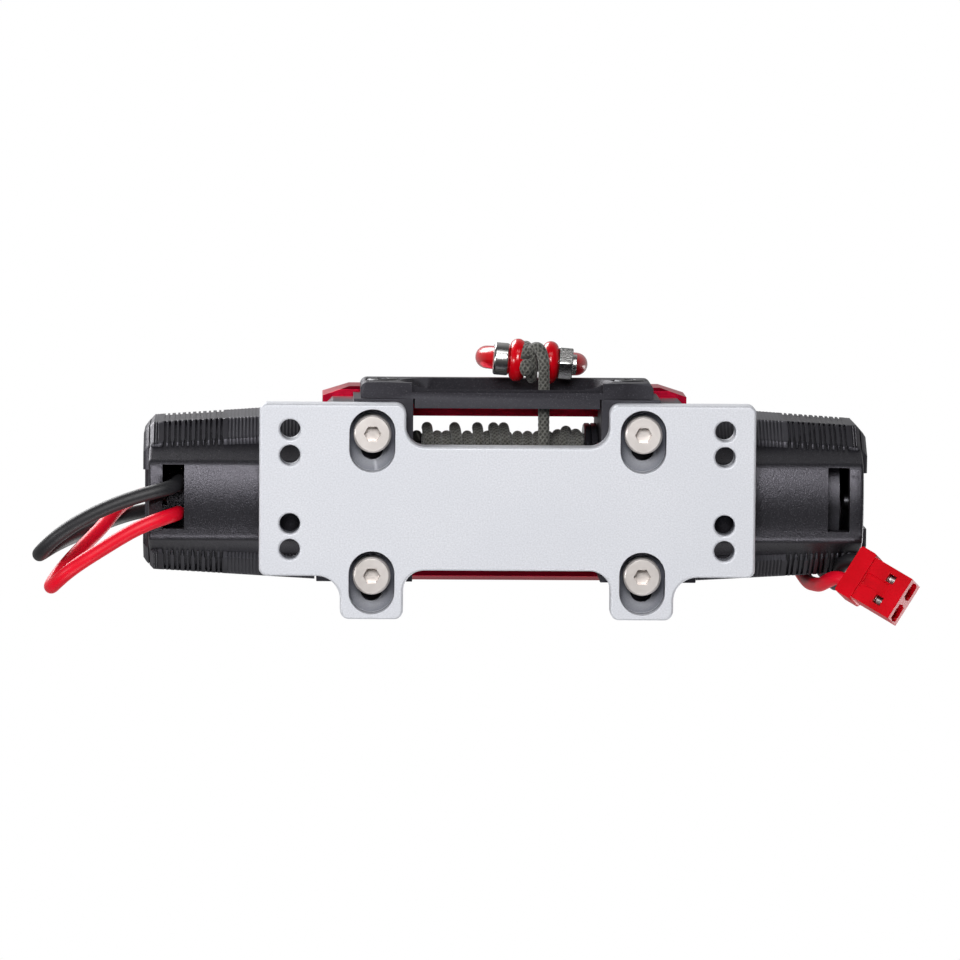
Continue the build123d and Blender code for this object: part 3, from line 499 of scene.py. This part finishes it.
def cord_mesh(path, radius, up, ridge=None, taper=1.0):
    """Braided cord along a path in millimetres: two sets of yarns cross as diamonds on its surface."""
    path = np.array(path, float)
    steps, count = CORD["steps"], len(path)
    tangents = np.gradient(path, axis=0)
    tangents /= np.linalg.norm(tangents, axis=1)[:, None]
    ups, up = np.empty_like(path), np.array(up, float)
    for i, tangent in enumerate(tangents):
        up = up - tangent * np.dot(up, tangent)
        up /= np.linalg.norm(up)
        ups[i] = up
    sides = np.cross(tangents, ups)
    along = np.r_[0, np.cumsum(np.linalg.norm(np.diff(path, axis=0), axis=1))][:, None]
    turn = np.linspace(0, 2 * math.pi, steps, endpoint=False)[None, :]
    run = 2 * math.pi * along / CORD["diamond"]
    yarn = np.maximum(np.cos(CORD["yarns"] * turn + run), np.cos(CORD["yarns"] * turn - run))
    reach = (radius * np.broadcast_to(taper, count)[:, None]) + (ridge or CORD["ridge"]) * (yarn - 0.4)
    circle = ups[:, None] * np.cos(turn)[..., None] + sides[:, None] * np.sin(turn)[..., None]
    verts = (path[:, None] + circle * reach[..., None]).reshape(-1, 3) * MM
    i, j = np.meshgrid(np.arange(count - 1), np.arange(steps), indexing="ij")
    k = (j + 1) % steps
    quads = np.stack((i * steps + j, i * steps + k, (i + 1) * steps + k, (i + 1) * steps + j), -1).reshape(-1, 4)
    faces = [tuple(q) for q in quads.tolist()]
    faces.append(tuple(range(steps))[::-1])
    faces.append(tuple(range((count - 1) * steps, count * steps)))
    return verts.tolist(), faces, yarn.ravel().tolist()


def smooth_path(points, spacing):
    """Evenly spaced points on a Catmull-Rom curve through the given points."""
    p = np.array(points, float)
    p = np.vstack([2 * p[0] - p[1], p, 2 * p[-1] - p[-2]])
    out = []
    for a, b, c, d in zip(p, p[1:], p[2:], p[3:]):
        count = max(2, int(np.linalg.norm(c - b) / spacing))
        for t in np.arange(count) / count:
            out.append(
                0.5 * (2 * b + (c - a) * t + (2 * a - 5 * b + 4 * c - d) * t**2 + (3 * b - a - 3 * c + d) * t**3)
            )
    out.append(p[-2])
    return np.array(out)


COIL = dict(left=-9.5, right=8.05, barrel=5.5)
FIRST_LAYER = 17
SECOND_LAYER = (1, 3.25, 6, 7.1, 8.6)  # places of the upper turns, in turns of the first layer
WOBBLES = 64
SECOND_RISE = 0.86  # of an upper turn over the one below it
SECOND_SINK = 0.18  # by which it settles into the gap opposite
LOOSE = dict(lean=(0.55, -0.62, 0.4), rise=(0.22, 0.45, 0.1), spacing=0.62, edge=0.6)


def coil():
    """Cord wound on the drum: a first layer, some turns on top of it, and loose crossing turns at the right."""
    pitch = (COIL["right"] - COIL["left"] - 2 * CORD["radius"]) / (FIRST_LAYER - 1)
    start = COIL["left"] + CORD["radius"]
    low = COIL["barrel"] + CORD["radius"]
    draws = np.random.default_rng(11)
    verts, faces, yarn = [], [], []

    def lay(points):
        new, quads, stand = cord_mesh(points, CORD["radius"], (1.0, 0.0, 0.0))
        add_mesh(verts, faces, new, quads)
        yarn.extend(stand)

    def ring(x_at, r_at, turns):
        angles = np.linspace(0, 2 * math.pi * turns, int(2 * math.pi * low * turns / CORD["spacing"]))
        return [(x_at(a), -r_at(a) * math.cos(a), AXIS_Z + r_at(a) * math.sin(a)) for a in angles]

    wobble = draws.normal(0, 0.035, WOBBLES)

    def first_layer(a):
        step = a * 1.3
        drift = wobble[int(step) % WOBBLES] * math.sin(step % 1 * math.pi)
        return start + pitch * min(a / (2 * math.pi), FIRST_LAYER - 1) + drift

    lay(ring(first_layer, lambda a: low, FIRST_LAYER - 1))
    for k, place in enumerate(SECOND_LAYER):
        x = start + pitch * (place + 0.5 * (k % 2))
        lean = draws.normal(0, 0.12)
        lay(ring(
            lambda a, x=x, lean=lean: x + lean * math.sin(a) + 0.5 * pitch * math.sin(a / 2),
            lambda a: low + SECOND_RISE - SECOND_SINK * abs(math.sin(a / 2)),
            1.0,
        ))
    for k, (lean, rise) in enumerate(zip(LOOSE["lean"], LOOSE["rise"])):
        x = COIL["right"] - LOOSE["edge"] - LOOSE["spacing"] * k
        lay(ring(
            lambda a, x=x, lean=lean, k=k: x - abs(lean) + lean * math.sin(a + 2.2 + k),
            lambda a, rise=rise, k=k: low + rise + 0.1 * math.sin(a * 2 + k),
            1.0,
        ))
    return verts, faces, yarn


# ------------------------------------------------------------------ ribbed armour
ARMOUR = dict(  # millimetres; section points are (sideways, above the drum axis)
    start=19.35, corner=35.75, end=36.79, channel=2.85, channel_top=16.5, wall_end=36.25,
    inner=((6.63, -4.75), (8.47, -2.6), (8.76, 6.0), (5.3, 8.76)),
    outer=((5.42, -5.7), (7.48, -2.75), (7.57, 5.6), (4.85, 8.0)),
)
RIBS = dict(
    count=6, pitch=1.05, land=0.34, slot=0.25, depth=0.55, ramp=0.02, plain=0.7, fine_pitch=0.36, fine_depth=0.07,
)


def meet(p, q, a, b):
    """Where the line through p and q meets the line through a and b, in the section plane."""
    d, e = q - p, b - a
    t = (e[0] * (a[1] - p[1]) - e[1] * (a[0] - p[0])) / (e[0] * d[1] - e[1] * d[0])
    return p + d * t


def inward(p, q, depth):
    """The line through p and q moved towards the section's middle by depth."""
    d = (q - p) / np.linalg.norm(q - p)
    n = np.array((-d[1], d[0]))
    if np.dot(n, p + q) > 0:
        n = -n
    return p + n * depth, q + n * depth


def armour_outline(x, depth, shrink):
    """Closed outer outline at a distance along the drum axis, cut in by a groove's depth."""
    share = (x - ARMOUR["start"]) / (ARMOUR["end"] - ARMOUR["start"])
    foot, low, high, brow = np.array(ARMOUR["inner"]) * (1 - share) + np.array(ARMOUR["outer"]) * share
    lower = inward(foot, low, depth + shrink)
    side = inward(low, high, shrink)
    upper = inward(high, brow, depth + shrink)
    crown = inward(brow, brow * np.array((-1, 1)), shrink)
    a = meet(*lower, foot, foot + np.array((-0.5, 0.5)))
    edge = inward(foot, low, 0.3 * depth + shrink)
    b, c, d = meet(*edge, *side), meet(*side, *upper), meet(*upper, *crown)
    c = c - np.array((0.2 * depth, 0))
    brink = meet(*lower, *side)
    near_foot, near_edge = a + (brink - a) * 0.13, a + (brink - a) * 0.88
    half = [a, near_foot, near_edge]
    half += arc_corner(near_edge, b, c, 0.2, 3) + arc_corner(b, c, d, 0.25, 3) + arc_corner(c, d, crown[1], 0.3, 3)
    return half + [np.array((-p[0], p[1])) for p in reversed(half)]


def rib_stations():
    """(place along the axis, groove depth, place of the land's middle or None) from the drum outwards."""
    ramp = RIBS["ramp"]
    coarse_end = ARMOUR["corner"] - RIBS["plain"]
    coarse_start = coarse_end - RIBS["count"] * RIBS["pitch"]
    out = [(ARMOUR["start"], 0.0, None)]
    x = ARMOUR["start"] + 0.4
    while x + RIBS["fine_pitch"] < coarse_start - 0.1:
        middle, deep = x + RIBS["fine_pitch"] / 2, RIBS["fine_depth"]
        out += [(x, 0.0, None), (x + ramp, deep, None), (middle, deep, None), (middle + ramp, 0.0, None)]
        x += RIBS["fine_pitch"]
    slot, land, pitch = RIBS["slot"], RIBS["land"], RIBS["pitch"]
    ridge = pitch - land - 2 * slot
    for i in range(RIBS["count"]):
        x = coarse_start + i * pitch
        for start, near, far in ((x, x - land / 2, None), (x + slot + ridge, None, x + pitch - land / 2)):
            out += [
                (start, 0.0, near),
                (start + ramp, RIBS["depth"], None),
                (start + slot - ramp, RIBS["depth"], None),
                (start + slot, 0.0, far),
            ]
    for start in (coarse_end + 0.2, coarse_end + 0.45):
        out += [(start, 0.0, None), (start + 0.04, 0.05, None), (start + 0.14, 0.05, None), (start + 0.18, 0.0, None)]
    return out + [(ARMOUR["corner"], 0.0, None)]


def armour(side, name):
    """Cover with cooling ribs that wraps a housing's sides, top and end."""
    end_shrink = ((ARMOUR["corner"], 0.0), (ARMOUR["end"] - 0.3, 0.72), (ARMOUR["end"], 1.15))
    stations = [(x, depth, land, 0.0) for x, depth, land in rib_stations()[:-1]]
    stations += [(x, 0.0, None, shrink) for x, shrink in end_shrink]
    rings = []
    for x, depth, land, shrink in stations:
        outline = armour_outline(x, depth, shrink)
        ring = []
        for j, p in enumerate(outline):
            at_foot = j in (0, len(outline) - 1)
            place = x + 0.7 * (land - x) if land is not None and at_foot else x
            ring.append((side * place * MM, p[0] * MM, (p[1] + AXIS_Z) * MM))
        rings.append(ring)
    cover = solid(name + "_ribs", *loft(rings))
    core_rings = [section(side * x, housing_outline(-0.03)) for x in (ARMOUR["start"] - 1, ARMOUR["wall_end"])]
    near, far = sorted((side * (ARMOUR["wall_end"] - 0.4), side * (ARMOUR["end"] + 1)))
    channel = box_solid("channel", (near, -ARMOUR["channel"], -1.0), (far, ARMOUR["channel"], ARMOUR["channel_top"]))
    cut(cover, solid("core", *loft(core_rings)), channel)
    finish_edges(cover, 0.02, 35.0, 1)
    take_place(cover, name)


TAIL_RADIUS = 0.56
KNOT = dict(radius=0.66, ridge=0.09, spacing=0.08, path=((1.96, -14.4, 5.5), (1.96, -13.5, 5.35), (1.98, -12.68, 5.45)))


def rope_tail():
    """Free cord: off the drum's underside, through the fairlead, over the shackle pin and round it to a knot."""
    route = [
        (3.75, 0.6, 4.92), (3.75, -3.0, 4.98), (3.75, -6.0, 5.06), (3.75, -9.0, 5.14), (3.75, -12.0, 5.2),
        (3.68, -14.2, 5.12), (3.42, -15.25, 5.4), (3.0, -15.55, 5.9), (2.6, -15.25, 6.3), (2.5, -14.2, 6.36),
        (2.55, -12.9, 6.7), (2.6, -12.35, 8.0), (2.5, -12.9, 9.3), (2.3, -14.1, 9.62), (2.1, -15.2, 9.2),
        (2.0, -15.5, 8.0), (1.95, -15.1, 6.6), (1.95, -14.4, 5.9),
    ]
    across = (1.0, 0.0, 0.0)
    verts, faces, yarn = cord_mesh(smooth_path(route, CORD["spacing"]), TAIL_RADIUS, across)
    knot = smooth_path(KNOT["path"], KNOT["spacing"])
    taper = np.sqrt(1 - np.linspace(-0.97, 0.97, len(knot)) ** 2)
    new, quads, stand = cord_mesh(knot, KNOT["radius"], across, ridge=KNOT["ridge"], taper=taper)
    add_mesh(verts, faces, new, quads)
    return verts, faces, yarn + stand


# ------------------------------------------------------------------ shackle
SHACKLE = dict(
    centre=(2.78, -14.0, 8.0), yaw_deg=4.2, lean_deg=3.4, rod=1.18, bow=4.6, height=5.7, opening_deg=40.0, leg=2.8,
    ring=1.38, ring_rod=0.83, ring_at=1.66, voxel=0.11,
)


def shackle_frame():
    """Middle of the pin, and the directions of the pin, of the bow and across both."""
    yaw, lean = math.radians(SHACKLE["yaw_deg"]), math.radians(SHACKLE["lean_deg"])
    pin = np.array((math.cos(yaw), math.sin(yaw), 0.0))
    back = np.array((-math.sin(yaw), math.cos(yaw), 0.0))
    up = np.array((0.0, 0.0, 1.0)) * math.cos(lean) + back * math.sin(lean)
    return np.array(SHACKLE["centre"]), pin, up, np.cross(pin, up)


def tube_rings(path, radius, steps=24, closed=False):
    """Vertices and faces of a round bar along a path of points."""
    path = np.array(path, float)
    tangents = np.roll(path, -1, axis=0) - np.roll(path, 1, axis=0) if closed else np.gradient(path, axis=0)
    tangents /= np.linalg.norm(tangents, axis=1)[:, None]
    up = np.cross(tangents[0], tangents[len(path) // 3])
    verts, faces = [], []
    for p, t in zip(path, tangents):
        up = up - t * np.dot(up, t)
        up /= np.linalg.norm(up)
        side = np.cross(t, up)
        for j in range(steps):
            a = 2 * math.pi * j / steps
            verts.append((p + (up * math.cos(a) + side * math.sin(a)) * radius) * MM)
    last = len(path) if closed else len(path) - 1
    for i in range(last):
        for j in range(steps):
            k, n = (j + 1) % steps, (i + 1) % len(path)
            faces.append((i * steps + j, i * steps + k, n * steps + k, n * steps + j))
    if not closed:
        faces.append(tuple(range(steps))[::-1])
        faces.append(tuple(range(len(verts) - steps, len(verts))))
    return verts, faces


def shackle_bow():
    """Bow and its two rings as one dipped, rounded form."""
    centre, pin, up, across = shackle_frame()
    opening = math.radians(SHACKLE["opening_deg"])
    arc = np.linspace(-opening, math.pi + opening, 40)
    points = [(SHACKLE["bow"] * math.cos(a), SHACKLE["height"] + SHACKLE["bow"] * math.sin(a)) for a in arc]
    run = np.linspace(1, 0, 8, endpoint=False) * SHACKLE["leg"]
    right = [(points[0][0] - d * math.sin(opening), points[0][1] - d * math.cos(opening)) for d in run]
    left = [(-x, y) for x, y in reversed(right)]
    parts = [tube_rings([centre + pin * x + up * y for x, y in right + points + left], SHACKLE["rod"])]
    for place in (-SHACKLE["ring_at"], SHACKLE["ring_at"]):
        turns = np.linspace(0, 2 * math.pi, 48, endpoint=False)
        middle = centre + pin * place
        ring = [middle + (up * math.cos(a) + across * math.sin(a)) * SHACKLE["ring"] for a in turns]
        parts.append(tube_rings(ring, SHACKLE["ring_rod"], 20, closed=True))
    verts, faces = [], []
    for new, quads in parts:
        add_mesh(verts, faces, new, quads)
    bow = solid("shackle_bow_dipped", verts, faces)
    blend = bow.modifiers.new("join", "REMESH")
    blend.mode = "VOXEL"
    blend.voxel_size = SHACKLE["voxel"] * MM
    ease = bow.modifiers.new("ease", "SMOOTH")
    ease.factor = 0.6
    ease.iterations = 9
    bake_modifiers(bow)
    bow.data.shade_smooth()
    wear(bow.data, "red_coating")
    settle(bow, "shackle", ["shackle_bow"])


# ------------------------------------------------------------------ carried-over CAD nodes
SOFT = {
    "mount_plate": 0.12, "mount_screws": 0.07, "left_cheek": 0.1, "right_cheek": 0.1, "fairlead": 0.1,
    "fairlead_screws": 0.05, "upper_frame": 0.12, "frame_screws": 0.05, "drum": 0.06,
    "end_screws": 0.05, "plug_housing": 0.14, "shackle_bolt": 0.05, "shackle_nut": 0.12,
}
REBUILT = (
    "motor_housing", "gearbox_housing", "left_armour", "right_armour", "rope_coil", "rope_end", "shackle_bow",
)
FLANGE = dict(near=8.76, far=9.42, radius=7.4)
for name in nodes:
    if name in SOFT:
        soften(name, SOFT[name])
    elif name not in REBUILT:
        wear(nodes[name].data, node_slot[name])

housing(-1, "motor_housing")
housing(1, "gearbox_housing")
armour(-1, "left_armour")
armour(1, "right_armour")
flange = rod_solid("right_flange", FLANGE["near"], FLANGE["far"], FLANGE["radius"], 96)
flange.data.materials.append(MATERIALS["black_gloss"])
finish_edges(flange, 0.12)
settle(flange, "drum_set")
settle(cord_object("wound_cord", *coil()), "drum_set", ["rope_coil"])
cord_piece("free_cord", *rope_tail())
shackle_bow()


# ------------------------------------------------------------------ stage, light and camera
CAMERA = dict(axis=(0.028, 0.0918, 1.0), aim_mm=(-2.8, -2.6), distance_mm=700.0, lens=261.0, roll_deg=-0.3)


def camera():
    """Telephoto view from below, square to the mounting face but for a few degrees."""
    axis = Vector(CAMERA["axis"]).normalized()
    aim = Vector((CAMERA["aim_mm"][0] * MM, CAMERA["aim_mm"][1] * MM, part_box("mount_plate")[0].z))
    data = bpy.data.cameras.new("camera")
    data.lens = CAMERA["lens"]
    data.sensor_width = 36.0
    data.clip_start, data.clip_end = 0.01, 10.0
    cam = bpy.data.objects.new("camera", data)
    cam.location = aim - axis * CAMERA["distance_mm"] * MM
    right = (Vector((1, 0, 0)) - axis * axis.x).normalized()
    down = axis.cross(right)
    basis = Matrix((right, -down, -axis)).transposed()
    roll = Quaternion(axis, math.radians(CAMERA["roll_deg"])).to_matrix()
    cam.rotation_mode = "QUATERNION"
    cam.rotation_quaternion = (roll @ basis).to_quaternion()
    bpy.context.scene.collection.objects.link(cam)
    bpy.context.scene.camera = cam


LIGHT_AIM_MM = (0, 0, 8)
LIGHTS = {  # place and size in millimetres, power in watts
    "below_key": ((-50, -200, -450), (190, 150), 1.75),
    "below_front": ((0, -400, -290), (420, 110), 0.4),
    "below_rear": ((0, 420, -260), (420, 60), 1.3),
    "below_left": ((-480, -40, -200), (70, 200), 0.8),
    "above_key": ((-300, -360, 460), (340, 340), 4.0),
    "above_fill": ((360, 260, 380), (360, 360), 1.6),
}


def area_light(name, place_mm, size_mm, watts):
    data = bpy.data.lights.new(name, "AREA")
    data.shape = "RECTANGLE"
    data.size, data.size_y = size_mm[0] * MM, size_mm[1] * MM
    data.energy = watts
    light = bpy.data.objects.new(name, data)
    light.location = Vector(place_mm) * MM
    direction = (Vector(LIGHT_AIM_MM) - Vector(place_mm)).normalized()
    light.rotation_mode = "QUATERNION"
    light.rotation_quaternion = direction.to_track_quat("-Z", "Y")
    bpy.context.scene.collection.objects.link(light)


def world():
    """White surround to the eye; as a light, dim on the mounting face's side and bright beyond the object."""
    w = bpy.data.worlds.new("surround")
    bpy.context.scene.world = w
    w.use_nodes = True
    tree = w.node_tree
    background = tree.nodes["Background"]
    rays = tree.nodes.new("ShaderNodeLightPath")
    direction = tree.nodes.new("ShaderNodeTexCoord")
    split = tree.nodes.new("ShaderNodeSeparateXYZ")
    tree.links.new(direction.outputs["Generated"], split.inputs["Vector"])
    height = tree.nodes.new("ShaderNodeMapRange")
    height.interpolation_type = "SMOOTHSTEP"
    for name, value in (("From Min", -0.25), ("From Max", 0.8), ("To Min", 0.04), ("To Max", 0.42)):
        height.inputs[name].default_value = value
    tree.links.new(split.outputs["Z"], height.inputs["Value"])
    strength = tree.nodes.new("ShaderNodeMix")
    strength.data_type = "FLOAT"
    strength.inputs["B"].default_value = 1.0
    tree.links.new(height.outputs["Result"], strength.inputs["A"])
    tree.links.new(rays.outputs["Is Camera Ray"], strength.inputs["Factor"])
    tree.links.new(strength.outputs["Result"], background.inputs["Strength"])
    background.inputs["Color"].default_value = (1, 1, 1, 1)


def floor():
    """Pale floor under the object, seen only from above, so that the view from below looks through it."""
    m = Nodes("floor_paint")
    m.set(Base_Color=m.mix(m.noise(60.0), rgba(0.86, 0.86, 0.86), rgba(0.90, 0.90, 0.90)), Roughness=0.7)
    geometry = m.tree.nodes.new("ShaderNodeNewGeometry")
    clear = m.tree.nodes.new("ShaderNodeBsdfTransparent")
    choose = m.tree.nodes.new("ShaderNodeMixShader")
    m.put(choose.inputs["Fac"], geometry.outputs["Backfacing"])
    m.put(choose.inputs[1], m.shader.outputs["BSDF"])
    m.put(choose.inputs[2], clear.outputs["BSDF"])
    m.put(m.tree.nodes["Material Output"].inputs["Surface"], choose.outputs["Shader"])
    half = 3.0
    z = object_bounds()[0].z - 0.02 * MM
    mesh = bpy.data.meshes.new("floor")
    mesh.from_pydata([(-half, -half, z), (half, -half, z), (half, half, z), (-half, half, z)], [], [(0, 1, 2, 3)])
    mesh.materials.append(m.material)
    obj = bpy.data.objects.new("floor", mesh)
    bpy.context.scene.collection.objects.link(obj)
    obj.visible_diffuse = False
    obj.visible_glossy = False
    obj.visible_transmission = False
    obj.visible_shadow = False
    obj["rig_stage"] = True


camera()
world()
floor()
for name, (place_mm, size_mm, watts) in LIGHTS.items():
    area_light(name, place_mm, size_mm, watts)
bpy.context.scene.view_settings.view_transform = "Standard"
